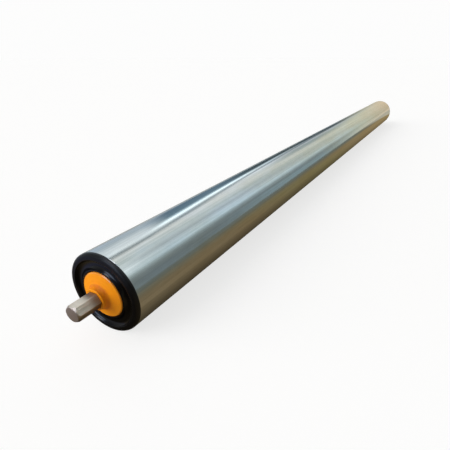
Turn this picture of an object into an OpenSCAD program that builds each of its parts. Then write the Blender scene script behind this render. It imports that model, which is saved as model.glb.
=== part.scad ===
// Conveyor roller: a steel tube that turns on two ball bearings, on a hexagonal axle that is held by its ends.
// The axle lies along Y with the origin halfway between the tube's ends, and +Z is up.
// Each end is modelled in a frame of its own: +Z points out of the tube and z = 0 is the tube's end.

/* [Tube] */
// Outside diameter of the tube
tube_d = 60; // [57:0.5:76]
// Wall of the tube
tube_wall = 1.5; // [1.2:0.1:2.5]
// Length of the tube
tube_l = 984; // [400:1:1600]
// Chamfer on the outer edge of the tube's ends
tube_chamfer = 0.3; // [0.1:0.1:0.6]

/* [Axle] */
// Width of the hexagonal axle across its flats
axle_af = 11; // [10:0.1:12]
// How far the axle's drawn corners lie inside a sharp hexagon's
corner_trim = 0.2; // [0.05:0.05:0.4]
// Length of axle that stands out of each end of the tube
axle_reach = 27; // [20:0.5:45]
// Diameter of the turned face on the axle's ends
end_face_d = 10.4; // [8:0.1:10.6]
// Length of the chamfer behind that face
end_chamfer_l = 1.6; // [0.5:0.1:3]

/* [End cap] */
// Thickness of the flange that covers the tube's end
flange_t = 3.2; // [2.9:0.1:5]
// Round on the flange's outer edge
flange_round = 2.9; // [1:0.1:3.5]
// Width of the plain rim, from the flange's outer edge to the cove
rim_w = 4.4; // [3.8:0.1:5.5]
// Depth of the cove in the flange's face
cove_depth = 2.7; // [1:0.1:2.8]
// Radius of the cove's section
cove_r = 3.7; // [3:0.1:5]
// How far the lip inside the cove lies behind the rim
lip_drop = 0.2; // [0:0.1:1.4]
// Thickness of the wall behind the cove
web_t = 2.7; // [1.5:0.1:4]
// Length of the spigot inside the tube
spigot_l = 18; // [14:0.5:30]
// Wall of the spigot
spigot_wall = 2.2; // [1.5:0.1:3]
// Wall around the bearing's seat
seat_wall = 2.6; // [1.6:0.1:3.5]
// Thickness of the shoulder in front of the bearing
shoulder_t = 1.6; // [1:0.1:2.2]
// Number of ribs between the seat and the spigot
rib_n = 8; // [4:1:12]
// Thickness of a rib
rib_t = 1.8; // [1:0.1:3]
// Length of the lip that the bearing snaps past
bead_l = 1.4; // [1:0.1:2.5]
// How far the snap lip reaches over the bearing's edge
bead_h = 0.35; // [0.1:0.05:0.6]

/* [Seal cover] */
// Diameter of the cover's disc
seal_d = 34; // [32:0.5:38]
// Gap around the disc
seal_gap = 0.5; // [0.4:0.1:0.9]
// Thickness of the disc
disc_t = 1.5; // [1:0.1:2]
// Chamfer on the disc's edge
disc_chamfer = 0.5; // [0.2:0.1:0.7]
// How far the disc's edge stands out of the tube's end
disc_edge_z = 3.5; // [3:0.1:4.5]
// How far the disc stands out at the foot of its boss
disc_foot_z = 5; // [4.6:0.1:6]
// How far the boss stands out of the tube's end
boss_z = 9.6; // [8:0.1:12]
// Wall of the boss at the axle's corners
boss_wall = 1.55; // [1:0.05:2.2]
// Round on the boss's edge
boss_round = 0.6; // [0.2:0.1:1]
// Radius of the hollow flank of the boss
flank_r = 3.8; // [1:0.1:5]
// Thickness of the skirts that make the labyrinth
skirt_t = 1.2; // [0.8:0.1:1.3]
// Gap on each side of the cap's labyrinth ring
skirt_gap = 1; // [0.6:0.1:1.1]
// Wall of the socket that holds the bush
socket_wall = 1.9; // [1:0.1:2]

/* [Bearing] */
// Bore of the bearing
bearing_bore = 15; // [14.5:0.1:16]
// Outside diameter of the bearing
bearing_od = 32; // [30:0.5:33]
// Width of the bearing
bearing_w = 9; // [8.5:0.5:12]
// How far the bearing lies inside the tube's end
bearing_inset = 5; // [4.5:0.1:8]
// Diameter of a ball
ball_d = 4.762; // [4.2:0.001:5]
// Number of balls
ball_n = 9; // [6:1:10]
// Chamfer on the outer edges of the rings
ring_chamfer = 0.5; // [0.2:0.1:0.8]
// Thickness of a shield
shield_t = 0.5; // [0.3:0.1:0.6]

/* [Bush] */
// Thickness of the bush's flange, behind the bearing
bush_flange_t = 1.8; // [1:0.1:3]
// Width of that flange, beyond the bearing's bore
bush_flange_w = 1.9; // [1.2:0.1:2.2]
// How far the bush stands out of the tube's end, inside the cover
bush_z = 3; // [0:0.1:3.2]

/* [Stops and spring] */
// Outside diameter of the two washers
washer_d = 20; // [18:0.5:30]
// Thickness of a washer
washer_t = 1.6; // [1:0.1:3]
// Diameter of the two spring pins
pin_d = 4; // [3:0.5:5]
// Length of a spring pin
pin_l = 20; // [16:0.5:26]
// Wall of a spring pin
pin_wall = 0.8; // [0.4:0.1:1]
// Diameter of the spring's wire
wire_d = 1.6; // [1:0.1:1.8]
// Diameter of the spring, measured to the middle of its wire
spring_d = 15.4; // [15:0.1:16]
// Length of the spring at rest
spring_l = 50; // [40:1:90]
// Turns of the spring, with one closed turn at each end
spring_turns = 13; // [9:1:15]

/* [Clearances] */
// Gap between the axle and what slides on it
slide_gap = 0.08; // [0.05:0.01:0.1]
// Gap between pieces that are pressed together
press_gap = 0.02; // [0.01:0.01:0.05]
// Gap between a ball and its races
race_gap = 0.06; // [0.04:0.01:0.1]
// Gap between a ball and its cage, and between a washer and the axle's corners
loose_gap = 0.15; // [0.1:0.05:0.3]
// Gap between bearing pieces that pass each other
ring_gap = 0.35; // [0.3:0.05:0.5]

/* [Hidden] */
$fn = 96;

// Which end of the tube a piece belongs to, as its direction along Y
near = -1;
far = 1;
// A cut runs past the faces it opens by this much
past = 1;

tube_r = tube_d / 2;
tube_bore_r = tube_r - tube_wall;

// Axle
axle_l = tube_l + 2 * axle_reach;
axle_corner_r = axle_af / 2 / cos(30) - corner_trim;
hex_bore_r = (axle_af / 2 + slide_gap) / cos(30);

// Bearing: its faces, its ball circle and its shoulders
bearing_front_z = -bearing_inset;
bearing_back_z = bearing_front_z - bearing_w;
bearing_mid_z = (bearing_front_z + bearing_back_z) / 2;
pitch_r = (bearing_bore + bearing_od) / 4;
race_r = ball_d / 2 + race_gap;
shoulder_depth = 1.5;
inner_shoulder_r = pitch_r - shoulder_depth;
outer_shoulder_r = pitch_r + shoulder_depth;
shield_seat_r = outer_shoulder_r + 1.1;
shield_inset = 0.3;

// Bush
bush_r = bearing_bore / 2 - press_gap;
bush_back_z = bearing_back_z - bush_flange_t;

// Seal cover and the labyrinth, from the disc's edge inwards
seal_r = seal_d / 2;
outer_skirt_r = seal_r - disc_chamfer;
labyrinth_r = outer_skirt_r - skirt_t - skirt_gap;
inner_skirt_r = labyrinth_r - skirt_t - skirt_gap;
socket_bore_r = bush_r + press_gap;
socket_r = socket_bore_r + socket_wall;
boss_r = hex_bore_r + boss_wall;
boss_land = 0.2;
flank = min(flank_r, boss_z - boss_round - boss_land - disc_foot_z);
skirt_clear = 0.8;
disc_mid_z = disc_foot_z - disc_t / 2;

// End cap
spigot_r = tube_bore_r - press_gap;
spigot_bore_r = spigot_r - spigot_wall;
edge_land = 0.3;
edge_round = min(flange_round, flange_t - edge_land);
cove_edge_r = tube_r - rim_w;
cove_mid_r = cove_edge_r - sqrt(cove_r * cove_r - pow(cove_r - cove_depth, 2));
cove_mid_z = flange_t - cove_depth + cove_r;
lip_z = flange_t - lip_drop;
web_back_z = flange_t - cove_depth - web_t;
gap_r = seal_r + seal_gap;
gap_wall = 2.9;
seat_r = bearing_od / 2 + press_gap;
seat_out_r = seat_r + seat_wall;
shoulder_z = bearing_front_z + shoulder_t;
seat_back_z = bearing_back_z - bead_l;
labyrinth_z = disc_edge_z - disc_t - skirt_clear;

// Stops and spring, as distances along Y
near_bush_y = near * (tube_l / 2 + bush_back_z);
far_bush_y = far * (tube_l / 2 + bush_back_z);
stop_pin_y = near_bush_y + washer_t + pin_d / 2;
spring_washer_y = far_bush_y - spring_l - washer_t;
spring_pin_y = spring_washer_y - pin_d / 2;
pin_slot = 0.6;
wire_sides = 8;
turn_steps = 16;

// Puts a piece that is modelled in an end's own frame at that end of the tube
module at_end(side) {
    translate([0, side * tube_l / 2, 0]) rotate([-90 * side, 0, 0]) children();
}

// Section of a ring between two radii and two heights
module band(r_in, r_out, z_low, z_high) {
    translate([r_in, z_low]) square([r_out - r_in, z_high - z_low]);
}

// Section of a disc whose upper outer edge is rounded
module rounded_band(r_in, r_out, z_low, z_high, round_r) {
    band(r_in, r_out - round_r, z_low, z_high);
    band(r_in, r_out, z_low, z_high - round_r);
    translate([r_out - round_r, z_high - round_r]) intersection() {
        circle(round_r);
        square(round_r);
    }
}

// A hexagonal bar with its corners towards +X and -X
module hex_bar(corner_r, z_low, z_high) {
    translate([0, 0, z_low]) cylinder(r = corner_r, h = z_high - z_low, $fn = 6);
}

module tube() {
    half = tube_l / 2;
    color("lightsteelblue") rotate([90, 0, 0]) rotate_extrude() polygon([
        [tube_bore_r, -half], [tube_r - tube_chamfer, -half], [tube_r, -half + tube_chamfer],
        [tube_r, half - tube_chamfer], [tube_r - tube_chamfer, half], [tube_bore_r, half]]);
}

module axle() {
    half = axle_l / 2;
    color("silver") difference() {
        rotate([90, 0, 0]) intersection() {
            hex_bar(axle_af / 2 / cos(30), -half, half);
            rotate_extrude() polygon([
                [0, -half], [end_face_d / 2, -half], [axle_corner_r, -half + end_chamfer_l],
                [axle_corner_r, half - end_chamfer_l], [end_face_d / 2, half], [0, half]]);
        }
        for (y = [stop_pin_y, spring_pin_y])
            translate([0, y, 0]) cylinder(d = pin_d, h = axle_af + 2 * past, center = true);
    }
}

// The flange and the wall behind it, with the cove in its face and a sunk lip inside the cove
module cap_face_section() {
    difference() {
        union() {
            rounded_band(gap_r, tube_r, 0, flange_t, edge_round);
            band(gap_r, spigot_r, web_back_z, flange_t / 2);
        }
        translate([cove_mid_r, cove_mid_z]) circle(cove_r);
        band(0, cove_mid_r, lip_z, flange_t + past);
    }
}

// The ring that the bearing sits in, between a shoulder in front and a snap lip behind
module cap_seat_section() {
    band(seat_r, seat_out_r, seat_back_z, shoulder_z);
    band(labyrinth_r - skirt_t, gap_r + gap_wall, bearing_front_z, shoulder_z);
    band(gap_r, gap_r + gap_wall, bearing_front_z, 0);
    band(labyrinth_r - skirt_t, labyrinth_r, bearing_front_z, labyrinth_z);
    polygon([[seat_r + bead_h, bearing_back_z - press_gap], [seat_r, bearing_back_z - press_gap],
        [seat_r - bead_h, bearing_back_z - bead_h - press_gap], [seat_r - bead_h, seat_back_z + bead_h],
        [seat_r, seat_back_z], [seat_r + bead_h, seat_back_z]]);
}

module cap_spigot_section() {
    lead_in = spigot_wall / 2;
    polygon([[spigot_bore_r, flange_t / 2 - web_t], [spigot_bore_r, -spigot_l],
        [spigot_r - lead_in, -spigot_l], [spigot_r, -spigot_l + 2 * lead_in],
        [spigot_r, flange_t / 2 - web_t]]);
}

// Ribs that slope back from the bearing's seat to the spigot
module cap_ribs() {
    r_seat = seat_r + seat_wall / 2;
    r_gap = gap_r + gap_wall / 2;
    r_out = spigot_r - spigot_wall / 2;
    web_z = web_back_z + web_t / 2;
    for (i = [0 : rib_n - 1])
        rotate([0, 0, 360 / rib_n * i]) rotate([90, 0, 0]) linear_extrude(rib_t, center = true)
            polygon([[r_gap, web_z], [r_gap, bearing_front_z], [r_seat, bearing_front_z],
                [r_seat, bearing_back_z], [r_out, bearing_mid_z], [r_out, web_z]]);
}

module end_cap(side) {
    color([0.08, 0.08, 0.09]) at_end(side) difference() {
        union() {
            rotate_extrude() {
                cap_face_section();
                cap_seat_section();
                cap_spigot_section();
            }
            cap_ribs();
        }
        // Slots between the ribs, which let the snap lip spring over the bearing
        for (i = [0 : rib_n - 1])
            rotate([0, 0, 360 / rib_n * (i + 0.5)])
                translate([seat_r - 2 * bead_h, -rib_t / 2, seat_back_z - past])
                    cube([seat_wall + 3 * bead_h, rib_t, bead_l + shoulder_t + past]);
    }
}

// The cover's disc: it slopes back from the foot of the boss to a chamfered edge
module cover_disc_section() {
    foot_r = boss_r + flank;
    polygon([[0, disc_foot_z - disc_t], [foot_r, disc_foot_z - disc_t], [seal_r, disc_edge_z - disc_t],
        [seal_r, disc_edge_z - disc_chamfer], [seal_r - disc_chamfer, disc_edge_z],
        [foot_r, disc_foot_z], [0, disc_foot_z]]);
}

// The boss around the axle, with a hollow flank that runs out into the disc
module cover_boss_section() {
    rounded_band(0, boss_r, disc_mid_z, boss_z, boss_round);
    difference() {
        band(boss_r - boss_round, boss_r + flank, disc_mid_z, disc_foot_z + flank);
        translate([boss_r + flank, disc_foot_z + flank]) circle(flank);
    }
}

// The socket around the bush, and the two skirts on either side of the cap's labyrinth ring
module cover_skirts_section() {
    band(outer_skirt_r - skirt_t, outer_skirt_r, shoulder_z + skirt_clear, disc_edge_z - disc_t / 2);
    band(inner_skirt_r - skirt_t, inner_skirt_r, bearing_front_z + skirt_clear, disc_mid_z);
    band(socket_bore_r, socket_r, bearing_front_z, disc_mid_z);
}

module seal_cover(side) {
    color("orange") at_end(side) difference() {
        rotate_extrude() {
            cover_disc_section();
            cover_boss_section();
            cover_skirts_section();
        }
        translate([0, 0, bearing_front_z - past])
            cylinder(r = socket_bore_r, h = bush_z + press_gap - bearing_front_z + past);
        hex_bar(hex_bore_r, bearing_front_z, boss_z + past);
    }
}

module axle_bush(side) {
    color("dimgray") at_end(side) difference() {
        rotate_extrude() {
            band(0, bush_r, bush_back_z, bush_z);
            band(0, bush_r + bush_flange_w, bush_back_z, bearing_back_z);
        }
        hex_bar(hex_bore_r, bush_back_z - past, bush_z + past);
    }
}

// The hollow that the balls run in
module race_section() {
    translate([pitch_r, bearing_mid_z]) circle(race_r);
}

module outer_ring(side) {
    recess = shield_inset + shield_t + press_gap;
    color("gainsboro") at_end(side) rotate_extrude() difference() {
        polygon([[outer_shoulder_r, bearing_back_z], [bearing_od / 2 - ring_chamfer, bearing_back_z],
            [bearing_od / 2, bearing_back_z + ring_chamfer],
            [bearing_od / 2, bearing_front_z - ring_chamfer],
            [bearing_od / 2 - ring_chamfer, bearing_front_z], [outer_shoulder_r, bearing_front_z]]);
        race_section();
        band(0, shield_seat_r, bearing_front_z - recess, bearing_front_z + past);
        band(0, shield_seat_r, bearing_back_z - past, bearing_back_z + recess);
    }
}

module inner_ring(side) {
    color("gainsboro") at_end(side) rotate_extrude() difference() {
        band(bearing_bore / 2, inner_shoulder_r, bearing_back_z, bearing_front_z);
        race_section();
    }
}

// Puts one child at each ball's place
module at_balls() {
    for (i = [0 : ball_n - 1])
        rotate([0, 0, 360 / ball_n * i]) translate([pitch_r, 0, bearing_mid_z]) children();
}

// A snap cage: a ring with a round pocket for each ball, open at the front so that the balls press in
module ball_cage(side) {
    color("burlywood") at_end(side) difference() {
        rotate_extrude() band(inner_shoulder_r + ring_gap, outer_shoulder_r - ring_gap,
            bearing_mid_z - ball_d / 2 - shield_t, bearing_mid_z + ball_d / 4);
        at_balls() sphere(ball_d / 2 + loose_gap);
    }
}

module balls(side) {
    color("white") at_end(side) at_balls() sphere(d = ball_d);
}

module shield(side, z_low) {
    color("darkgray") at_end(side) rotate_extrude()
        band(inner_shoulder_r + ring_gap, shield_seat_r - press_gap, z_low, z_low + shield_t);
}

module front_shield(side) {
    shield(side, bearing_front_z - shield_inset - shield_t);
}

module back_shield(side) {
    shield(side, bearing_back_z + shield_inset);
}

// A washer on the axle, from y up
module washer(y) {
    color("lightgray") translate([0, y + washer_t, 0]) rotate([90, 0, 0]) rotate_extrude()
        band(axle_corner_r + loose_gap, washer_d / 2, 0, washer_t);
}

// A slotted spring pin across the axle
module slotted_pin(y) {
    r = pin_d / 2 - press_gap;
    color("dimgray") translate([0, y, -pin_l / 2]) difference() {
        cylinder(r = r, h = pin_l);
        translate([0, 0, -past]) cylinder(r = r - pin_wall, h = pin_l + 2 * past);
        translate([0, -pin_slot / 2, -past]) cube([pin_d, pin_slot, pin_l + 2 * past]);
    }
}

// Height of the wire's middle after t turns: the first and the last turn lie against their neighbours
function wire_y(t) =
    let (open_l = spring_l - 3 * wire_d, open_turns = spring_turns - 2)
    t < 1 ? wire_d * (0.5 + t) :
    t > spring_turns - 1 ? spring_l - wire_d * (0.5 + spring_turns - t) :
    wire_d * 1.5 + open_l * (t - 1) / open_turns;

// One ring of points around the wire after t turns
function wire_ring(t) = [for (k = [0 : wire_sides - 1])
    let (a = 360 * t, b = 360 * k / wire_sides, r = spring_d / 2 + wire_d / 2 * cos(b))
    [r * cos(a), wire_y(t) + wire_d / 2 * sin(b), r * sin(a)]];

module return_spring() {
    steps = spring_turns * turn_steps;
    points = [for (i = [0 : steps]) each wire_ring(i / turn_steps)];
    sides = [for (i = [0 : steps - 1], k = [0 : wire_sides - 1])
        let (a = i * wire_sides + k, b = i * wire_sides + (k + 1) % wire_sides)
        each [[a, b, b + wire_sides], [a, b + wire_sides, a + wire_sides]]];
    first = [for (k = [wire_sides - 1 : -1 : 0]) k];
    last = [for (k = [0 : wire_sides - 1]) steps * wire_sides + k];
    color("slategray") translate([0, far_bush_y - spring_l, 0])
        polyhedron(points, concat([first, last], sides));
}

module near_end_cap() { end_cap(near); }
module near_seal_cover() { seal_cover(near); }
module near_axle_bush() { axle_bush(near); }
module near_outer_ring() { outer_ring(near); }
module near_inner_ring() { inner_ring(near); }
module near_ball_cage() { ball_cage(near); }
module near_balls() { balls(near); }
module near_front_shield() { front_shield(near); }
module near_back_shield() { back_shield(near); }
module far_end_cap() { end_cap(far); }
module far_seal_cover() { seal_cover(far); }
module far_axle_bush() { axle_bush(far); }
module far_outer_ring() { outer_ring(far); }
module far_inner_ring() { inner_ring(far); }
module far_ball_cage() { ball_cage(far); }
module far_balls() { balls(far); }
module far_front_shield() { front_shield(far); }
module far_back_shield() { back_shield(far); }
module stop_washer() { washer(near_bush_y); }
module stop_pin() { slotted_pin(stop_pin_y); }
module spring_washer() { washer(spring_washer_y); }
module spring_pin() { slotted_pin(spring_pin_y); }

tube();
axle();
near_end_cap();
near_seal_cover();
near_axle_bush();
near_outer_ring();
near_inner_ring();
near_ball_cage();
near_balls();
near_front_shield();
near_back_shield();
far_end_cap();
far_seal_cover();
far_axle_bush();
far_outer_ring();
far_inner_ring();
far_ball_cage();
far_balls();
far_front_shield();
far_back_shield();
stop_washer();
stop_pin();
return_spring();
spring_washer();
spring_pin();
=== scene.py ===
# A gravity conveyor roller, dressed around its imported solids.
# The tube lies along Y with its near end at -Y. Everything is in metres unless a note says mm.
from math import atan2, cos, degrees, pi, radians, sin, sqrt

import bmesh
import bpy
from mathutils import Matrix, Vector


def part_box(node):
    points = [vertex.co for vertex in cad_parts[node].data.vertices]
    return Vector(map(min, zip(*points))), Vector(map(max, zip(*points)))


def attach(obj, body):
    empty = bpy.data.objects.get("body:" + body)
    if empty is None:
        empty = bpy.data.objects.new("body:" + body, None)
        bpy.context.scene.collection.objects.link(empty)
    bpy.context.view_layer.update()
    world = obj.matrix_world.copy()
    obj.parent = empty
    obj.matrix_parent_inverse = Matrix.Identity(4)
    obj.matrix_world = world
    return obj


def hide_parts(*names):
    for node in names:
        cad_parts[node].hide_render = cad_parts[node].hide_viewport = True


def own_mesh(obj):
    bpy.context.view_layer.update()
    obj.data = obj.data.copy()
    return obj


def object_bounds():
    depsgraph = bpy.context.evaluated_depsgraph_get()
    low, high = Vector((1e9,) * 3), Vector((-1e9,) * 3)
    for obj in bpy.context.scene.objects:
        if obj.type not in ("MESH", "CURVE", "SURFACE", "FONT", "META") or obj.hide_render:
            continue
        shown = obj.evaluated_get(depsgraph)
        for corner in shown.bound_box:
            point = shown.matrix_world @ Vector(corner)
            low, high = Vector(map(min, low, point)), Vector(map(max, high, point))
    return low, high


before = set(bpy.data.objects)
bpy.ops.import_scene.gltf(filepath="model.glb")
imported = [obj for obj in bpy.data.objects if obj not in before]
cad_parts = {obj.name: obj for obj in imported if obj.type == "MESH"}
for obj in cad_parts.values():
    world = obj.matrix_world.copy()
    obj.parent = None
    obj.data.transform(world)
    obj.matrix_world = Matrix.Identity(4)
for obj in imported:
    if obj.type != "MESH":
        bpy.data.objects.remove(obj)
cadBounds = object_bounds()
mm = 0.001
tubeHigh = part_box("tube")[1]
tubeRadius = tubeHigh.x
tubeEnd = tubeHigh.y
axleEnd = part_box("axle")[1].y
ends = {"near": -1, "far": 1}
weld = 1e-6  # points closer than this become one
print("frame: the packed solids are in")


class Wire:
    # a shader socket that takes part in sums, each of which adds its Math node
    def __init__(self, tree, socket):
        self.tree, self.socket = tree, socket

    def math(self, operation, *others, turned=False):
        parts = [self, *others]
        return self.tree.add("ShaderNodeMath", {"operation": operation}, parts[::-1] if turned else parts)

    def __add__(self, other):
        return self.math("ADD", other)

    def __sub__(self, other):
        return self.math("SUBTRACT", other)

    def __rsub__(self, other):
        return self.math("SUBTRACT", other, turned=True)

    def __mul__(self, other):
        return self.math("MULTIPLY", other)

    def __truediv__(self, other):
        return self.math("DIVIDE", other)

    def __rtruediv__(self, other):
        return self.math("DIVIDE", other, turned=True)

    __radd__, __rmul__ = __add__, __mul__

    def above(self, edge, soft):
        # 0 below the edge, 1 above it, with a soft step between
        settings = {"interpolation_type": "SMOOTHSTEP", "clamp": True}
        return self.tree.add("ShaderNodeMapRange", settings,
                             {"Value": self, "From Min": edge - soft, "From Max": edge + soft})

    def below(self, edge, soft):
        return 1 - self.above(edge, soft)

    def between(self, low, high, soft):
        return self.above(low, soft) * self.below(high, soft)


class Tree:
    # the nodes of one material or of the world
    def __init__(self, owner):
        owner.use_nodes = True
        self.owner, self.nodes, self.links = owner, owner.node_tree.nodes, owner.node_tree.links
        self.nodes.clear()

    def add(self, kind, settings=None, values=None, out=0):
        node = self.nodes.new(kind)
        for name, value in (settings or {}).items():
            if name == "stops":
                ramp = node.color_ramp.elements
                while len(ramp) < len(value):
                    ramp.new(1)
                for stop, (place, colour) in zip(ramp, value):
                    stop.position, stop.color = place, (*colour, 1)
            else:
                setattr(node, name, value)
        pairs = values.items() if isinstance(values, dict) else enumerate(values or [])
        for name, value in pairs:
            socket = node.inputs[name]
            if isinstance(value, Wire):
                self.links.new(value.socket, socket)
            elif hasattr(value, "__len__") and len(value) == 3 and socket.type == "RGBA":
                socket.default_value = (*value, 1)
            else:
                socket.default_value = value
        return Wire(self, node.outputs[out]) if node.outputs else None

    def noise(self, stretch, detail=2, rough=0.5, shift=(0, 0, 0)):
        # stretch is the number of blotches in a metre along X, Y and Z
        spot = self.add("ShaderNodeTexCoord", out="Object")
        place = self.add("ShaderNodeMapping", {}, {"Vector": spot, "Scale": stretch, "Location": shift})
        return self.add("ShaderNodeTexNoise", {}, {"Vector": place, "Scale": 1, "Detail": detail,
                                                   "Roughness": rough})

    def mix(self, share, first, second, blend="MIX"):
        settings = {"data_type": "RGBA", "blend_type": blend}
        return self.add("ShaderNodeMix", settings, {0: share, 6: first, 7: second}, out=2)

    def axes(self, space="Object"):
        # X, Y and Z of the surface, or with "Generated" of the direction looked in, for the world
        spot = self.add("ShaderNodeTexCoord", out=space)
        split = self.add("ShaderNodeSeparateXYZ", {}, {0: spot}).socket.node
        return [Wire(self, split.outputs[i]) for i in range(3)]

    def radius(self, space="Object"):
        # how far out from the roller's own axis
        x, _, z = self.axes(space)
        return (x * x + z * z).math("SQRT")

    def ray(self, kind):
        return self.add("ShaderNodeLightPath", out="Is " + kind + " Ray")

    def bump(self, height, depth):
        return self.add("ShaderNodeBump", {}, {"Height": height, "Distance": depth, "Strength": 1})

    def finish(self, **sockets):
        # the sockets' names are written with _ for the space between two words
        values = {name.replace("_", " "): value for name, value in sockets.items()}
        shader = self.add("ShaderNodeBsdfPrincipled", {}, values)
        self.add("ShaderNodeOutputMaterial", {}, {0: shader})
        return self.owner


def newTree(name):
    return Tree(bpy.data.materials.new(name))


def lathe(outline, side, segments):
    # outline holds (radius, height) in mm, the height measured outwards from the tube's end,
    # and ("turn", radius, height, degrees, steps) for an arc about that centre from the last point
    def spot(radius, height):
        return Vector((radius * mm, side * (tubeEnd + height * mm), 0))

    bm = bmesh.new()
    first = last = None
    for point in outline:
        if point[0] == "turn":
            _, radius, height, angle, steps = point
            made = bmesh.ops.spin(bm, geom=[last], cent=spot(radius, height), axis=(0, 0, side),
                                  angle=radians(angle), steps=steps)
            last = next(part for part in made["geom_last"] if isinstance(part, bmesh.types.BMVert))
        else:
            new = bm.verts.new(spot(*point))
            if last:
                bm.edges.new((last, new))
            first, last = first or new, new
    bm.edges.new((last, first))
    bmesh.ops.spin(bm, geom=bm.verts[:] + bm.edges[:], cent=(0, 0, 0), axis=(0, 1, 0), angle=2 * pi,
                   steps=segments, use_merge=True)
    return settled(bm)


def settled(bm):
    bmesh.ops.remove_doubles(bm, verts=bm.verts, dist=weld)
    bmesh.ops.dissolve_degenerate(bm, edges=bm.edges, dist=weld / 10)
    bmesh.ops.recalc_face_normals(bm, faces=bm.faces)
    return bm


def roundOff(bm, side, corners):
    # corners holds (radius, height, size of the round, steps) in mm for a lathed piece's round edges
    near = 0.02 * mm
    for radius, height, size, steps in corners:
        level = side * (tubeEnd + height * mm)
        edges = [edge for edge in bm.edges if all(
            abs(v.co.y - level) < near and abs(Vector((v.co.x, v.co.z)).length - radius * mm) < near
            for v in edge.verts)]
        bmesh.ops.bevel(bm, geom=edges, offset=size * mm, offset_type="OFFSET", affect="EDGES",
                        segments=steps, profile=0.5, material=-1, clamp_overlap=True)


def asObject(name, bm):
    mesh = bpy.data.meshes.new(name)
    bm.to_mesh(mesh)
    bm.free()
    piece = bpy.data.objects.new(name, mesh)
    bpy.context.scene.collection.objects.link(piece)
    return piece


def carve(piece, *cutters, operation="DIFFERENCE"):
    # cuts or joins the other shapes, then bakes the result into the piece's own mesh
    for cutter in cutters:
        step = piece.modifiers.new(cutter.name, "BOOLEAN")
        step.operation, step.object, step.solver = operation, cutter, "EXACT"
    bpy.context.view_layer.update()
    carved = bpy.data.meshes.new_from_object(piece.evaluated_get(bpy.context.evaluated_depsgraph_get()))
    piece.modifiers.clear()
    piece.data = carved
    for cutter in cutters:
        bpy.data.objects.remove(cutter)


def dress(piece, material, body, slot, *nodes, sharp=35):
    piece.data.materials.clear()
    piece.data.materials.append(material)
    piece.data.shade_smooth()
    piece.data.set_sharp_from_angle(angle=radians(sharp))
    evened = piece.modifiers.new("even shading", "WEIGHTED_NORMAL")
    evened.keep_sharp = True
    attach(piece, body)
    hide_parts(*nodes)


camera = {"lens": 28.82, "sensor": 36, "clipStart": 0.01, "shiftX": -0.0644, "shiftY": 0.0464,
          "place": (0.1796, -0.1319, 0.1404),  # from the centre of the tube's near end
          "azimuth": 27.27, "elevation": 27.77}


def addCamera():
    eye = bpy.data.objects.new("camera", bpy.data.cameras.new("camera"))
    bpy.context.scene.collection.objects.link(eye)
    eye.data.lens, eye.data.sensor_width = camera["lens"], camera["sensor"]
    eye.data.shift_x, eye.data.shift_y = camera["shiftX"], camera["shiftY"]
    eye.data.clip_start = camera["clipStart"]
    azimuth, elevation = radians(camera["azimuth"]), radians(camera["elevation"])
    ahead = Vector((-sin(azimuth) * cos(elevation), cos(azimuth) * cos(elevation), -sin(elevation)))
    eye.rotation_mode = "QUATERNION"
    eye.rotation_quaternion = ahead.to_track_quat("-Z", "Y")
    eye.location = Vector(camera["place"]) - Vector((0, tubeEnd, 0))
    bpy.context.scene.camera = eye


# The camera sees pale paper, which also gives its bounce of light to the parts.
paper = {"radius": 30, "colour": (0.90, 0.90, 0.895), "glow": (1.145, 1.145, 1.142), "glowShare": 0.65,
         "bounce": (0.44, 0.39, 0.32)}

# The roller mirrors something else below it, a painted reflection that the floor glows with for reflected
# rays only: a brown bench with a painted shadow along the tube, grey floor beside the bench and pale floor
# past its far end. An edge is (where, half its soft width) and a span (from, to, half its soft width), in
# metres along Y, or in X away from the roller for a name with Out, or in X for one with Left.
bench = {
    "front": (0.03, 0.02, 0.011), "frontEdge": (-0.56, 0.05), "near": (0.225, 0.17, 0.092),
    "far": (0.35, 0.26, 0.125), "farEdge": (0.25, 0.45),
    "greener": (0.96, 1.055, 0.91), "greenSpan": (-0.22, 0.10, 0.12),
    # darker along the line where the tube lies on it, above all at the near end
    "shadow": (0.03, 0.024, 0.014), "shadowOut": (0.036, 0.022), "shadowShare": 0.66, "shadowFall": 0.5,
    "rim": (0.21, 0.19, 0.125), "rimOut": (0.12, 0.05), "endOut": (0.22, 0.06),
    "beside": (0.165, 0.18, 0.15), "besideLeft": (0.52, 0.58, 0.62), "sideLeft": (0, 0.1),
    # the pale floor past the bench widens from pastStart on, by pastSlope
    "past": (0.56, 0.52, 0.40), "pastEdge": (0.70, 0.06), "pastStart": 0.3, "pastSlope": (0.29, 0.06),
    # two patches on the left: a dark one beside the far end, a grey-blue one before the near end
    "dark": (0.17, 0.20, 0.21), "darkLeft": (-0.15, 0.08), "darkSpan": (0.45, 1.35, 0.15),
    "blue": (0.22, 0.24, 0.38), "blueLeft": (-0.055, 0.03), "blueEdge": (-0.53, 0.03),
}


def mirroredBench(t):
    b = bench
    x, y, _ = t.axes()
    out = x.math("ABSOLUTE")
    brown = t.mix(y.above(*b["farEdge"]), b["near"], b["far"])
    brown = t.mix(y.above(*b["frontEdge"]), b["front"], brown)
    brown = t.mix(y.between(*b["greenSpan"]), brown, b["greener"], "MULTIPLY")
    shadow = out.below(*b["shadowOut"]) * (b["shadowShare"] - y * b["shadowFall"])
    brown = t.mix(shadow, brown, b["shadow"])
    brown = t.mix(out.above(*b["rimOut"]), brown, b["rim"])
    beside = t.mix(x.above(*b["sideLeft"]), b["besideLeft"], b["beside"])
    ground = t.mix(out.above(*b["endOut"]), brown, beside)
    widening = (out / (y - b["pastStart"])).below(*b["pastSlope"])
    ground = t.mix(y.above(*b["pastEdge"]) * widening, ground, b["past"])
    ground = t.mix(x.below(*b["darkLeft"]) * y.between(*b["darkSpan"]), ground, b["dark"])
    return t.mix(x.below(*b["blueLeft"]) * y.below(*b["blueEdge"]), ground, b["blue"])


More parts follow.
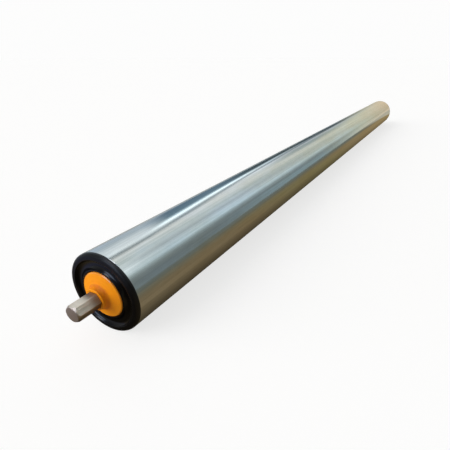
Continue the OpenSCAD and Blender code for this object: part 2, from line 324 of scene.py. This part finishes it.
def addFloor():
    bm = bmesh.new()
    bmesh.ops.create_circle(bm, cap_ends=True, segments=64, radius=paper["radius"],
                            matrix=Matrix.Translation((0, 0, cadBounds[0].z)))
    floor = asObject("floor", bm)
    t = newTree("floor paper")
    # the paper glows a little for the camera, so that the shadow on it stays light
    lit = t.add("ShaderNodeBsdfDiffuse", {}, {"Color": paper["colour"]})
    glow = t.add("ShaderNodeEmission", {}, {"Color": paper["glow"]})
    seen = t.add("ShaderNodeMixShader", {}, {0: paper["glowShare"], 1: lit, 2: glow})
    mirrored = t.mix(t.ray("Diffuse"), mirroredBench(t), paper["bounce"])
    below = t.add("ShaderNodeEmission", {}, {"Color": mirrored})
    both = t.add("ShaderNodeMixShader", {}, {0: t.ray("Camera"), 1: below, 2: seen})
    t.add("ShaderNodeOutputMaterial", {}, {0: both})
    floor.data.materials.append(t.owner)


# The room that the roller mirrors, by the direction looked in. "turn" goes round the roller's axis: 0 at
# the right, 0.5 overhead, 1 at the left. "out" is how far the direction points away from that axis: large
# for what the near end mirrors, small for the far end. Edges and spans are written as for the bench, and
# 2 and -2 lie past either end of a turn.
room = {
    "bands": [
        (0.00, (0.20, 0.25, 0.26)), (0.09, (0.18, 0.22, 0.23)), (0.155, (0.225, 0.27, 0.275)),
        (0.205, (0.38, 0.47, 0.49)), (0.25, (0.66, 0.82, 0.88)), (0.31, (0.66, 0.79, 0.85)),
        (0.37, (0.61, 0.70, 0.74)), (0.43, (0.64, 0.75, 0.78)), (0.50, (0.76, 0.85, 0.87)),
        (0.555, (0.92, 0.98, 1.0)), (0.59, (0.25, 0.32, 0.36)), (0.62, (0.85, 0.95, 1.0)),
        (0.65, (1.7, 2.0, 2.1)), (0.69, (0.55, 0.70, 0.78)), (0.73, (0.16, 0.25, 0.31)),
        (0.90, (0.13, 0.20, 0.26)), (1.0, (0.45, 0.53, 0.57))],
    # on the left the bands lean, because what they stand for is near
    "lean": 0.486, "leanEdge": (0.6, 0.1), "leanOut": 0.81, "leanMost": 0.79,
    # the pale wall at the upper left of the near end, greyer towards the left
    "pale": (0.95, 1.06, 1.14), "paleLeft": (0.50, 0.60, 0.68), "paleFade": (0.78, 0.13),
    "paleOut": (0.75, 0.03), "paleEdge": (0.64, 0.03),
    # what lies over the bands, in order: how, on which side of an edge in out, span in turn, colour
    "patches": [
        # a bright pane at the upper right, a darker line overhead, a faint one across the pane
        ("MIX", "near", (0.81, 0.03), (0.25, 0.40, 0.05), (1.05, 1.20, 1.28)),
        ("MULTIPLY", "near", (0.78, 0.03), (0.57, 0.605, 0.012), (0.7, 0.7, 0.7)),
        ("MULTIPLY", "near", (0.52, 0.08), (0.335, 0.39, 0.025), (0.84, 0.85, 0.86)),
        # further along the roller the left grows darker, the lower right lighter and the top warmer
        ("MIX", "far", (0.57, 0.07), (0.80, 2, 0.09), (0.06, 0.085, 0.095)),
        ("MIX", "far", (0.57, 0.12), (-2, 0.13, 0.06), (0.27, 0.36, 0.38)),
        ("MULTIPLY", "far", (0.52, 0.14), (0.25, 0.64, 0.08), (0.88, 0.83, 0.72)),
        ("MULTIPLY", "far", (0.46, 0.06), (0.62, 0.76, 0.07), (0.5, 0.52, 0.5))],
    # the end of the room, straight along the roller, which reaches less far on the left
    "end": (0.78, 0.58, 0.38), "endAround": (0.69, 0.70, 0.54), "endAroundOut": (0.20, 0.05),
    "endShade": (0.84, 0.87, 0.87), "endShadeSpan": (0.10, 0.32, 0.06),
    "endOut": (0.29, 0.08), "endLeft": (0.75, 0.1), "endLess": 0.05,
    # the room before the near end, in X, Y and Z of the direction, with a blue window in it
    "front": (0.07, 0.06, 0.055), "frontLeft": (0.33, 0.34, 0.35), "frontLeftEdge": (-0.15, 0.25),
    "ceiling": (0.17, 0.175, 0.20), "ceilingEdge": (0.5, 0.25), "window": (0.36, 0.52, 0.95),
    "windowSpan": (-0.32, 0.16, 0.16), "windowSill": (0.3, 0.25), "frontEdge": (0.1, 0.2),
    # what the camera sees, and what shades the parts, brighter from the window's side
    "backdrop": (0.98, 0.98, 0.978), "daylight": (0.66, 0.66, 0.66), "dimSide": (0.13, 0.13, 0.135),
    "dimEdge": (0.1, 0.5),
}


def mirroredWalls(t, turn, out):
    r = room
    left = turn.above(*r["leanEdge"])
    lean = turn + (out.math("MINIMUM", r["leanMost"]) - r["leanOut"]) * left * r["lean"]
    walls = t.add("ShaderNodeValToRGB", {"stops": r["bands"]}, {"Fac": lean})
    pale = t.mix(turn.above(*r["paleFade"]), r["pale"], r["paleLeft"])
    walls = t.mix(out.above(*r["paleOut"]) * turn.above(*r["paleEdge"]), walls, pale)
    for blend, side, edge, span, colour in r["patches"]:
        reach = out.above(*edge) if side == "near" else out.below(*edge)
        walls = t.mix(reach * turn.between(*span), walls, colour, blend)
    end = t.mix(out.above(*r["endAroundOut"]), r["end"], r["endAround"])
    end = t.mix(turn.between(*r["endShadeSpan"]), end, r["endShade"], "MULTIPLY")
    beyond = (out + turn.above(*r["endLeft"]) * r["endLess"]).above(*r["endOut"])
    return t.mix(beyond, end, walls)


def addRoom():
    r = room
    world = bpy.data.worlds.new("studio")
    bpy.context.scene.world = world
    t = Tree(world)
    x, y, z = t.axes("Generated")
    turn = z.math("ARCTAN2", x) / pi
    front = t.mix(x.above(*r["frontLeftEdge"]), r["frontLeft"], r["front"])
    front = t.mix(z.above(*r["ceilingEdge"]), front, r["ceiling"])
    window = x.between(*r["windowSpan"]) * z.above(*r["windowSill"])
    front = t.mix(window, front, r["window"])
    mirrored = t.mix(y.above(*r["frontEdge"]), front, mirroredWalls(t, turn, t.radius("Generated")))
    shade = t.mix(x.above(*r["dimEdge"]), r["daylight"], r["dimSide"])
    unseen = t.mix(t.ray("Diffuse"), mirrored, shade)
    glow = t.add("ShaderNodeBackground", {}, {"Color": t.mix(t.ray("Camera"), unseen, r["backdrop"])})
    t.add("ShaderNodeOutputWorld", {}, {0: glow})


# the sun stands for the window's light: it shades the parts but isn't mirrored, the lamps are only mirrored
lights = {
    "sun": {"from": (-0.68, -0.84, 0.44), "power": 2.6, "size": 60, "colour": (1.0, 0.985, 0.96)},
    "lamps": {
        "topLamp": {"place": (-0.06, -0.80, 1.1), "target": (0, -0.5, 0), "width": 0.4, "length": 0.7,
                    "watts": 3.0, "colour": (1.0, 1.0, 1.0)},
        "frontLamp": {"place": (-0.06, -1.02, 0.40), "target": (0, -0.5, 0), "width": 0.40, "length": 0.26,
                      "watts": 1.0, "colour": (0.68, 0.80, 1.0)}},
}


def addLights():
    given = lights["sun"]
    sun = bpy.data.lights.new("windowLight", "SUN")
    sun.energy, sun.angle, sun.color = given["power"], radians(given["size"]), given["colour"]
    hang(sun, given["from"], (0, 0, 0)).visible_glossy = False
    for name, given in lights["lamps"].items():
        lamp = bpy.data.lights.new(name, "AREA")
        lamp.shape, lamp.size, lamp.size_y = "RECTANGLE", given["width"], given["length"]
        lamp.energy, lamp.color = given["watts"], given["colour"]
        hang(lamp, given["place"], given["target"]).visible_diffuse = False


def hang(lamp, place, target):
    holder = bpy.data.objects.new(lamp.name, lamp)
    bpy.context.scene.collection.objects.link(holder)
    holder.location = place
    holder.rotation_mode = "QUATERNION"
    holder.rotation_quaternion = (Vector(target) - Vector(place)).to_track_quat("-Z", "Y")
    holder.visible_camera = False
    return holder


addCamera()
addFloor()
addRoom()
addLights()
bpy.context.scene.view_settings.view_transform = "Standard"
print("studio: camera, floor, room and lights are up")


# From here on a piece's sizes are in mm, with heights outwards from the tube's end, and its finish's depths
# and distances are in metres.
tube = {"wall": 1.5, "edge": 0.3, "innerEdge": 0.15, "segments": 256,
        "cool": (0.72, 0.75, 0.79), "warm": (0.73, 0.71, 0.64), "dark": (0.42, 0.44, 0.45),
        "roughness": 0.105, "lineDepth": 0.00003}


def zincTube():
    t = newTree("zinc plated tube")
    drawn = t.noise((700, 5, 700), 4, 0.6)
    fine = t.noise((3500, 40, 3500), 2, 0.6)
    streaks = t.noise((190, 1.6, 190), 4, 0.62, shift=(5, 2, 1))
    cloud = t.noise((34, 7, 34), 4, 0.6, shift=(3, 1, 2))
    mottle = t.noise((300, 90, 300), 3, 0.6)
    plating = t.mix(cloud.above(0.52, 0.14) * 0.8 + (drawn - 0.5) * 0.5, tube["cool"], tube["warm"])
    wear = (streaks - 0.5) * 0.9 + (drawn - 0.5) * 0.9 + (mottle - 0.5) * 0.45 + (cloud - 0.5) * 0.4 + 0.2
    colour = t.mix(wear, plating, tube["dark"])
    rough = tube["roughness"] + (streaks - 0.5) * 0.16 + (drawn - 0.5) * 0.14 + (cloud - 0.5) * 0.16
    lines = t.bump(drawn * 0.6 + fine * 0.4, tube["lineDepth"])
    return t.finish(Base_Color=colour, Metallic=1.0, Roughness=rough, Normal=lines)


def buildTube():
    outer, length = tubeRadius / mm, 2 * tubeEnd / mm
    bore = outer - tube["wall"]
    bm = lathe([(bore, 0), (outer, 0), (outer, -length), (bore, -length)], 1, tube["segments"])
    roundOff(bm, 1, [(radius, height, size, steps) for radius, size, steps in
                     ((outer, tube["edge"], 3), (bore, tube["innerEdge"], 2)) for height in (0, -length)])
    dress(asObject("roller_tube", bm), zincTube(), "shell", "zinc_tube", "tube")


buildTube()
print("tube: drawn and plated")


cap = {"flange": 3.2, "edgeRound": 2.9, "rim": 4.4, "coveDepth": 2.7, "coveRadius": 3.7, "lip": 3.0,
       "gapRadius": 17.5, "collar": 2.9, "shoulder": -3.4, "ringIn": 13.1, "ringOut": 14.3, "ringTop": 1.2,
       "bearingFront": -5, "bearingBack": -14.02, "seat": 16.02, "seatOut": 18.62, "seatBack": -15.4,
       "bead": 0.35, "web": -2.2, "spigotIn": 26.28, "spigotOut": 28.48, "spigotEnd": -18, "leadIn": 1.1,
       "ribs": 8, "rib": 1.8, "ribSeat": 1.3, "ribSpigot": 1.1, "ribWeb": 1.35,  # how deep a rib is rooted
       "slotBehind": 0.2, "slotDepth": 3, "rimRound": 0.35, "ringRound": 0.25, "gapRound": 0.2,
       "segments": 192, "colour": (0.0016, 0.0013, 0.0014), "dust": (0.005, 0.0047, 0.005),
       "coveRoughness": 0.19, "rimRougher": 0.22, "skinDepth": 0.00002}


def blackNylon():
    # the rim is satin and a little dusty, the cove is glossy
    t = newTree("black moulded nylon")
    rim = t.radius().above(tubeRadius - cap["rim"] * mm, 0.0002)
    skin = t.noise((2600, 2600, 2600), 2, 0.7)
    dust = t.noise((90, 90, 90), 4, 0.65)
    rough = (cap["coveRoughness"] + rim * cap["rimRougher"] + (dust - 0.5) * 0.10
             + rim * (skin - 0.5) * 0.15)
    colour = t.mix(rim * dust.above(0.55, 0.12) * 0.5, cap["colour"], cap["dust"])
    return t.finish(Base_Color=colour, Roughness=rough, Specular_IOR_Level=0.4,
                    Normal=t.bump(rim * skin, cap["skinDepth"]))


def fanned(bm, count, firstTurn):
    # copies what is there round the tube's axis, count in all
    bmesh.ops.rotate(bm, verts=bm.verts, cent=(0, 0, 0), matrix=Matrix.Rotation(firstTurn, 3, "Y"))
    bmesh.ops.spin(bm, geom=bm.verts[:] + bm.edges[:] + bm.faces[:], cent=(0, 0, 0), axis=(0, 1, 0),
                   angle=2 * pi * (count - 1) / count, steps=count - 1, use_duplicate=True)
    bmesh.ops.recalc_face_normals(bm, faces=bm.faces)
    return bm


def capRibs(side):
    # the ribs that slope back from the bearing's seat to the spigot
    c = cap
    inner, outer = c["seat"] + c["ribSeat"], c["spigotOut"] - c["ribSpigot"]
    root, top = c["gapRadius"] + c["collar"] / 2, c["web"] + c["ribWeb"]
    middle = (c["bearingFront"] + c["bearingBack"]) / 2
    bm = bmesh.new()
    corners = [bm.verts.new(Vector((radius, side * (tubeEnd / mm + height), -c["rib"] / 2)) * mm)
               for radius, height in ((root, top), (root, c["bearingFront"]), (inner, c["bearingFront"]),
                                      (inner, c["bearingBack"]), (outer, middle), (outer, top))]
    made = bmesh.ops.extrude_face_region(bm, geom=[bm.faces.new(corners)])["geom"]
    bmesh.ops.translate(bm, verts=[part for part in made if isinstance(part, bmesh.types.BMVert)],
                        vec=(0, 0, c["rib"] * mm))
    return fanned(bm, c["ribs"], 0)


def capSlots(side):
    # the slots between the ribs, which let the snap lip spring over the bearing
    c = cap
    low, high = c["seat"] - 2 * c["bead"], c["seatOut"] + c["bead"]
    start, end = c["seatBack"] - c["slotBehind"], c["seatBack"] + c["slotDepth"]
    middle = Vector(((low + high) / 2, side * (tubeEnd / mm + (start + end) / 2), 0))
    bm = bmesh.new()
    bmesh.ops.create_cube(bm, size=mm)
    bmesh.ops.scale(bm, verts=bm.verts, vec=(high - low, end - start, c["rib"]))
    bmesh.ops.translate(bm, verts=bm.verts, vec=middle * mm)
    return fanned(bm, c["ribs"], pi / c["ribs"])


def buildCap(end, side, material):
    c, radius = cap, tubeRadius / mm
    coveEdge = radius - c["rim"]
    coveMid = coveEdge - sqrt(c["coveRadius"] ** 2 - (c["coveRadius"] - c["coveDepth"]) ** 2)
    coveTop = c["flange"] - c["coveDepth"] + c["coveRadius"]
    inner = coveMid - sqrt(c["coveRadius"] ** 2 - (coveTop - c["lip"]) ** 2)
    sweepFrom = degrees(atan2(c["flange"] - coveTop, coveEdge - coveMid))
    sweepTo = degrees(atan2(c["lip"] - coveTop, inner - coveMid))
    collarOut, beadIn = c["gapRadius"] + c["collar"], c["seat"] - c["bead"]
    outline = [
        (radius, 0), (radius, c["flange"]), (coveEdge, c["flange"]),
        ("turn", coveMid, coveTop, sweepTo - sweepFrom, 18),
        (c["gapRadius"], c["lip"]), (c["gapRadius"], c["shoulder"]),
        (c["ringOut"], c["shoulder"]), (c["ringOut"], c["ringTop"]), (c["ringIn"], c["ringTop"]),
        (c["ringIn"], c["bearingFront"]), (c["seat"], c["bearingFront"]), (c["seat"], c["bearingBack"]),
        (beadIn, c["bearingBack"] - c["bead"]), (beadIn, c["seatBack"] + c["bead"]),
        (c["seat"], c["seatBack"]), (c["seatOut"], c["seatBack"]), (c["seatOut"], c["bearingFront"]),
        (collarOut, c["bearingFront"]), (collarOut, c["web"]), (c["spigotIn"], c["web"]),
        (c["spigotIn"], c["spigotEnd"]), (c["spigotOut"] - c["leadIn"], c["spigotEnd"]),
        (c["spigotOut"], c["spigotEnd"] + 2 * c["leadIn"]), (c["spigotOut"], 0)]
    bm = lathe(outline, side, c["segments"])
    roundOff(bm, side, [(radius, c["flange"], c["edgeRound"], 10),
                        (coveEdge, c["flange"], c["rimRound"], 3),
                        (inner, c["lip"], c["ringRound"], 3), (c["gapRadius"], c["lip"], c["gapRound"], 3),
                        (c["ringOut"], c["ringTop"], c["ringRound"], 2),
                        (c["ringIn"], c["ringTop"], c["ringRound"], 2)])
    piece = asObject(end + "_cap_moulding", bm)
    carve(piece, asObject("capRibs", capRibs(side)), operation="UNION")
    carve(piece, asObject("capSlots", capSlots(side)))
    dress(piece, material, "shell", "black_housing", end + "_end_cap")


blackFinish = blackNylon()
for end, side in ends.items():
    buildCap(end, side, blackFinish)
print("end caps: moulded")


cover = {"radius": 17, "edge": 3.5, "foot": 5, "thick": 1.5, "chamfer": 0.5, "boss": 9.6,
         "bossRadius": 7.993, "bossRound": 0.6, "rimRound": 0.15, "flank": 3.8,
         "skirtOut": (15.3, 16.5), "skirtOutEnd": -2.6, "skirtIn": (10.9, 12.1), "skirtInEnd": -4.2,
         "socket": (7.5, 9.4), "socketEnd": -5, "socketTop": 3.02,
         "hex": 11.16, "mouth": 0.3, "segments": 160,
         "colour": (0.94, 0.325, 0.004), "darker": (0.90, 0.285, 0.003), "roughness": 0.50,
         # the painted shade in the hollow round the boss and the disc's polished edge, in metres out from
         # the axis
         "hollow": (0.0082, 0.0098, 0.0006), "hollowColour": (0.58, 0.11, 0.0008),
         "polished": (0.0162, 0.0003), "skinDepth": 0.00001}


def orangeAcetal():
    t = newTree("orange moulded acetal")
    radius = t.radius()
    cloud = t.noise((150, 150, 150), 3)
    skin = t.noise((2200, 2200, 2200), 2, 0.6)
    colour = t.mix(cloud.above(0.5, 0.2) * 0.5, cover["colour"], cover["darker"])
    # painted shade: a deeper orange is painted into the hollow round the boss, where the boss's flank lies
    # in shade
    hollow = radius.between(*cover["hollow"])
    colour = t.mix(hollow * (0.35 + cloud * 0.3), colour, cover["hollowColour"])
    rough = cover["roughness"] + (cloud - 0.5) * 0.12 + (skin - 0.5) * 0.08
    return t.finish(Base_Color=colour, Roughness=rough, Specular_IOR_Level=0.2, Subsurface_Weight=0.08,
                    Subsurface_Scale=0.0006, Coat_Weight=radius.above(*cover["polished"]),
                    Coat_Roughness=0.12, Coat_IOR=1.8, Normal=t.bump(skin, cover["skinDepth"]))


def buildCover(end, side, material):
    c = cover
    footRadius, faceRadius = c["bossRadius"] + c["flank"], c["radius"] - c["chamfer"]
    backSlope = (c["edge"] - c["foot"]) / (c["radius"] - footRadius)

    def back(radius):
        return c["foot"] - c["thick"] + backSlope * max(0, radius - footRadius)

    outline = [
        (0, c["boss"]), (c["bossRadius"], c["boss"]), (c["bossRadius"], c["foot"] + c["flank"]),
        ("turn", footRadius, c["foot"] + c["flank"], 90, 14),
        (faceRadius, c["edge"]), (c["radius"], c["edge"] - c["chamfer"]),
        (c["radius"], back(c["radius"])), (c["skirtOut"][1], back(c["skirtOut"][1])),
        (c["skirtOut"][1], c["skirtOutEnd"]), (c["skirtOut"][0], c["skirtOutEnd"]),
        (c["skirtOut"][0], back(c["skirtOut"][0])), (c["skirtIn"][1], back(c["skirtIn"][1])),
        (c["skirtIn"][1], c["skirtInEnd"]), (c["skirtIn"][0], c["skirtInEnd"]),
        (c["skirtIn"][0], back(c["skirtIn"][0])), (c["socket"][1], back(c["socket"][1])),
        (c["socket"][1], c["socketEnd"]), (c["socket"][0], c["socketEnd"]),
        (c["socket"][0], c["socketTop"]), (0, c["socketTop"])]
    bm = lathe(outline, side, c["segments"])
    roundOff(bm, side, [(c["bossRadius"], c["boss"], c["bossRound"], 5),
                        (faceRadius, c["edge"], c["rimRound"], 2),
                        (c["radius"], c["edge"] - c["chamfer"], c["rimRound"], 2)])
    piece = asObject(end + "_cover_moulding", bm)
    # the hole is a six-sided turning with its corners towards X, flared at its mouth
    corner, flare = c["hex"] / 2 / cos(pi / 6), c["mouth"]
    hole = lathe([(0, 0), (corner, 0), (corner, c["boss"] - flare),
                  (corner + 2 * flare, c["boss"] + flare), (0, c["boss"] + flare)], side, 6)
    carve(piece, asObject("hexHole", hole))
    dress(piece, material, "hub", "orange_seal", end + "_seal_cover")


orangeFinish = orangeAcetal()
for end, side in ends.items():
    buildCover(end, side, orangeFinish)
print("seal covers: moulded")


axle = {"across": 11, "corner": 6.151, "face": 10.4, "chamfer": 1.6, "pinHole": 4, "pinDrill": 20,
        "segments": 120, "colour": (0.95, 0.80, 0.65), "worn": (0.80, 0.66, 0.52),
        "sawn": (1.0, 0.82, 0.62), "roughness": 0.38, "lineDepth": 0.00035,
        # in metres from the axle's end: where the painted shade begins, half its soft edge, how ragged it
        # is
        "oilAndShade": (0.20, 0.17, 0.14), "shadeFrom": 0.0125, "shadeSoft": 0.004, "shadeRagged": 0.004}


def drawnSteel():
    t = newTree("drawn axle steel")
    along = t.axes()[1].math("ABSOLUTE")
    drawn = t.noise((1500, 14, 1500), 4, 0.65)
    worn = t.noise((160, 60, 160), 3, 0.6)
    sawn = t.noise((900, 900, 900), 3, 0.6)
    onFace = along.above(axleEnd - 0.0002, 0.0001)
    colour = t.mix(worn.above(0.5, 0.15) * 0.7, axle["colour"], axle["worn"])
    # painted shade: the steel beside the cover is painted darker, where the boss shades it
    baseShade = (along + (worn - 0.5) * axle["shadeRagged"]).below(axleEnd - axle["shadeFrom"], axle["shadeSoft"])
    colour = t.mix(baseShade * 0.75, colour, axle["oilAndShade"])
    colour = t.mix(onFace, colour, axle["sawn"])
    rough = axle["roughness"] + (drawn - 0.5) * 0.15 + (worn - 0.5) * 0.15 + onFace * 0.14
    height = drawn * (1 - onFace) + sawn * onFace * 0.1
    return t.finish(Base_Color=colour, Metallic=1.0, Roughness=rough,
                    Normal=t.bump(height, axle["lineDepth"]))


def buildAxle():
    a = axle
    far, near = (axleEnd - tubeEnd) / mm, -(axleEnd + tubeEnd) / mm
    outline = [(0, far), (a["face"] / 2, far), (a["corner"], far - a["chamfer"]),
               (a["corner"], near + a["chamfer"]), (a["face"] / 2, near), (0, near)]
    bm = lathe(outline, 1, a["segments"])
    # the six flats are planed off the turned bar
    for i in range(6):
        outwards = Vector((0, 0, 1)) @ Matrix.Rotation(i * pi / 3, 3, "Y")
        cut = bmesh.ops.bisect_plane(bm, geom=bm.verts[:] + bm.edges[:] + bm.faces[:], dist=weld / 10,
                                     plane_co=outwards * a["across"] / 2 * mm, plane_no=outwards,
                                     clear_outer=True)
        rim = [part for part in cut["geom_cut"] if isinstance(part, bmesh.types.BMEdge)]
        bmesh.ops.edgenet_fill(bm, edges=rim)
    settled(bm)
    piece = asObject("hex_axle", bm)
    cutters = []
    for name in ("stop_pin", "spring_pin"):
        low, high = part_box(name)
        bm = bmesh.new()
        radius = a["pinHole"] / 2 * mm
        bmesh.ops.create_cone(bm, cap_ends=True, segments=48, radius1=radius, radius2=radius,
                              depth=a["pinDrill"] * mm,
                              matrix=Matrix.Translation((0, (low.y + high.y) / 2, 0)))
        cutters.append(asObject(name + "Hole", bm))
    carve(piece, *cutters)
    dress(piece, drawnSteel(), "axle", "axle_steel", "axle", sharp=18)


buildAxle()
print("axle: turned and planed")


spring = {"wire": 1.6, "middle": 15.4, "turns": 13, "length": 50, "wireSides": 16, "turnSteps": 48,
          "shortest": 0.7, "colour": (0.30, 0.295, 0.29), "oiled": (0.16, 0.155, 0.15),
          "roughness": 0.30, "lineDepth": 0.00001}


def springWire():
    t = newTree("oiled spring wire")
    oilAndShade = t.noise((260, 260, 260), 3, 0.6)
    drawn = t.noise((2400, 2400, 2400), 2, 0.6)
    colour = t.mix(oilAndShade.above(0.5, 0.15), spring["colour"], spring["oiled"])
    rough = spring["roughness"] + (oilAndShade - 0.5) * 0.25 + (drawn - 0.5) * 0.1
    return t.finish(Base_Color=colour, Metallic=1.0, Roughness=rough,
                    Normal=t.bump(drawn, spring["lineDepth"]))


def buildSpring():
    # the first and the last turn lie against their neighbours, the rest stand open
    s = spring
    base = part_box("return_spring")[0].y
    openTurns = s["turns"] - 2
    rise = (s["length"] - 3 * s["wire"]) / openTurns
    wireRadius = s["wire"] / 2 * mm
    bm = bmesh.new()
    bmesh.ops.create_circle(bm, cap_ends=False, segments=s["wireSides"], radius=wireRadius,
                            matrix=Matrix.Translation((s["middle"] / 2 * mm, base + wireRadius, 0)))
    ring = bm.verts[:] + bm.edges[:]
    for turns, climb in ((1, s["wire"]), (openTurns, rise), (1, s["wire"])):
        made = bmesh.ops.spin(bm, geom=ring, cent=(0, 0, 0), axis=(0, -1, 0), angle=2 * pi * turns,
                              dvec=(0, climb / s["turnSteps"] * mm, 0), steps=turns * s["turnSteps"])
        ring = made["geom_last"]
    bmesh.ops.holes_fill(bm, edges=[edge for edge in bm.edges if edge.is_boundary])
    piece = asObject("axle_spring", settled(bm))
    dress(piece, springWire(), "axle", "spring_steel", "return_spring")
    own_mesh(piece)


buildSpring()
print("spring: wound")

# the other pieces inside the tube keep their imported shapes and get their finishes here
inside = {
    "ground bearing steel": {
        "pieces": ("outer_ring", "inner_ring"), "atBothEnds": True, "grain": "ring",
        "colour": (0.60, 0.60, 0.61), "worn": (0.50, 0.50, 0.51), "metal": 1.0, "roughness": 0.22},
    "polished bearing balls": {
        "pieces": ("balls",), "atBothEnds": True, "grain": "even",
        "colour": (0.78, 0.78, 0.80), "worn": (0.74, 0.74, 0.76), "metal": 1.0, "roughness": 0.06},
    "natural nylon cage": {
        "pieces": ("ball_cage",), "atBothEnds": True, "grain": "even",
        "colour": (0.62, 0.52, 0.34), "worn": (0.54, 0.44, 0.27), "metal": 0.0, "roughness": 0.42},
    "pressed steel shield": {
        "pieces": ("front_shield", "back_shield"), "atBothEnds": True, "grain": "ring",
        "colour": (0.50, 0.50, 0.51), "worn": (0.42, 0.42, 0.43), "metal": 1.0, "roughness": 0.30},
    "grey moulded bush": {
        "pieces": ("axle_bush",), "atBothEnds": True, "grain": "even",
        "colour": (0.12, 0.12, 0.13), "worn": (0.09, 0.09, 0.10), "metal": 0.0, "roughness": 0.48},
    "zinc plated washer": {
        "pieces": ("stop_washer", "spring_washer"), "atBothEnds": False, "grain": "even",
        "colour": (0.66, 0.67, 0.69), "worn": (0.60, 0.58, 0.50), "metal": 1.0, "roughness": 0.32},
    "rolled spring pin": {
        "pieces": ("stop_pin", "spring_pin"), "atBothEnds": False, "grain": "along",
        "colour": (0.20, 0.20, 0.21), "worn": (0.12, 0.12, 0.12), "metal": 1.0, "roughness": 0.36},
}
grains = {"even": (1500, 1500, 1500), "along": (2500, 2500, 120), "ring": 3000}


def insideFinish(name, look):
    t = newTree(name)
    if look["grain"] == "ring":
        # turned lines: the noise knows only how far out and how far along a spot is
        fine = grains["ring"]
        spot = t.add("ShaderNodeCombineXYZ", {}, [t.radius() * fine, t.axes()[1] * fine, 0])
        grain = t.add("ShaderNodeTexNoise", {}, {"Vector": spot, "Scale": 1, "Detail": 3,
                                                 "Roughness": 0.6})
    else:
        grain = t.noise(grains[look["grain"]], 3, 0.6)
    patches = t.noise((220, 220, 220), 3, 0.6)
    colour = t.mix(patches.above(0.55, 0.15), look["colour"], look["worn"])
    rough = look["roughness"] * (1 + (patches - 0.5) * 0.3 + (grain - 0.5) * 0.6)
    depth = 0.00001 if look["metal"] else 0.00002
    return t.finish(Base_Color=colour, Metallic=look["metal"], Roughness=rough, Normal=t.bump(grain, depth))


for name, look in inside.items():
    material = insideFinish(name, look)
    starts = [end + "_" for end in ends] if look["atBothEnds"] else [""]
    for node in [start + part for part in look["pieces"] for start in starts]:
        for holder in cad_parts[node].material_slots:
            holder.material = material
print("bearings, bushes, washers and pins: finished")
